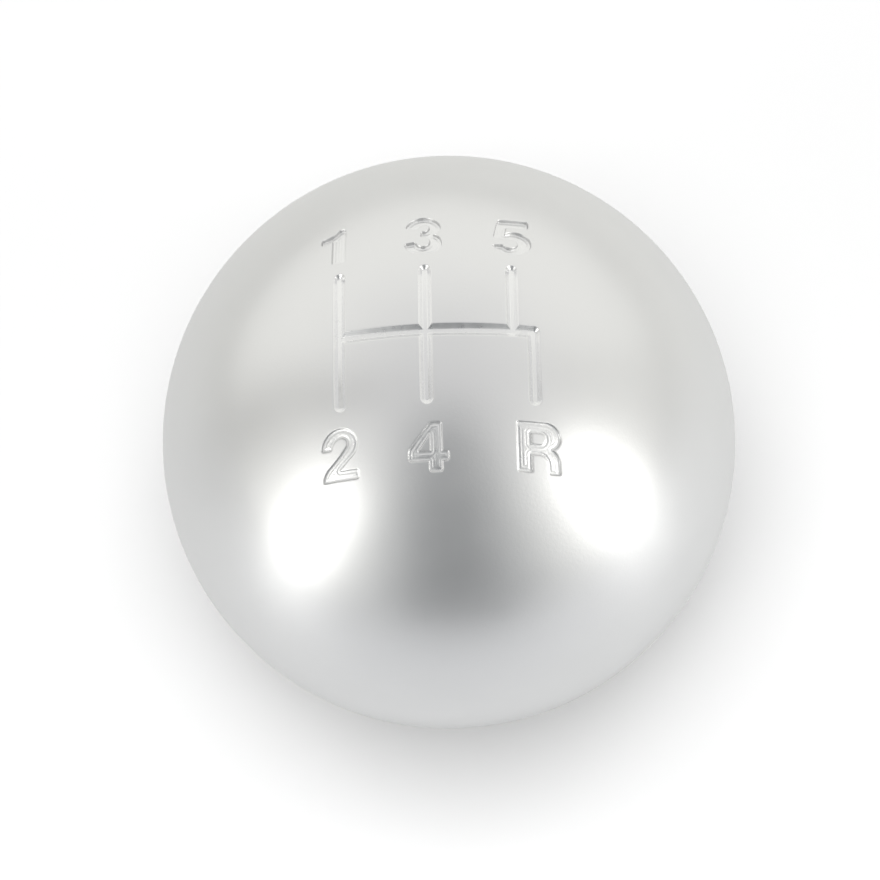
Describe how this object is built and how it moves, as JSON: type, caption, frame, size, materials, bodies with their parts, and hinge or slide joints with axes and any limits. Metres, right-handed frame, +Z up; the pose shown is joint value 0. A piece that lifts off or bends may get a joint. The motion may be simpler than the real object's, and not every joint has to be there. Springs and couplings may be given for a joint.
{
  "type": "gear shift knob",
  "caption": "Ball gear knob turned from one aluminium billet, satin finish, engraved shift gate and gear numerals on top, tapped blind hole in a flat base for the lever.",
  "frame": {"origin": "centre of the flat base, at the mouth of the tapped hole", "axes": "+Z up along the tapped hole and the ball's axis; +Y towards the odd gears' row; +X towards the reverse lane"},
  "size_m": [0.05, 0.05, 0.0469],
  "materials": {
    "satin_aluminium": "fine blasted and clear anodised to an even satin, with the engraving cut bright afterwards"
  },
  "bodies": {
    "root": {"knob": "satin_aluminium"}
  },
  "joints": []
}
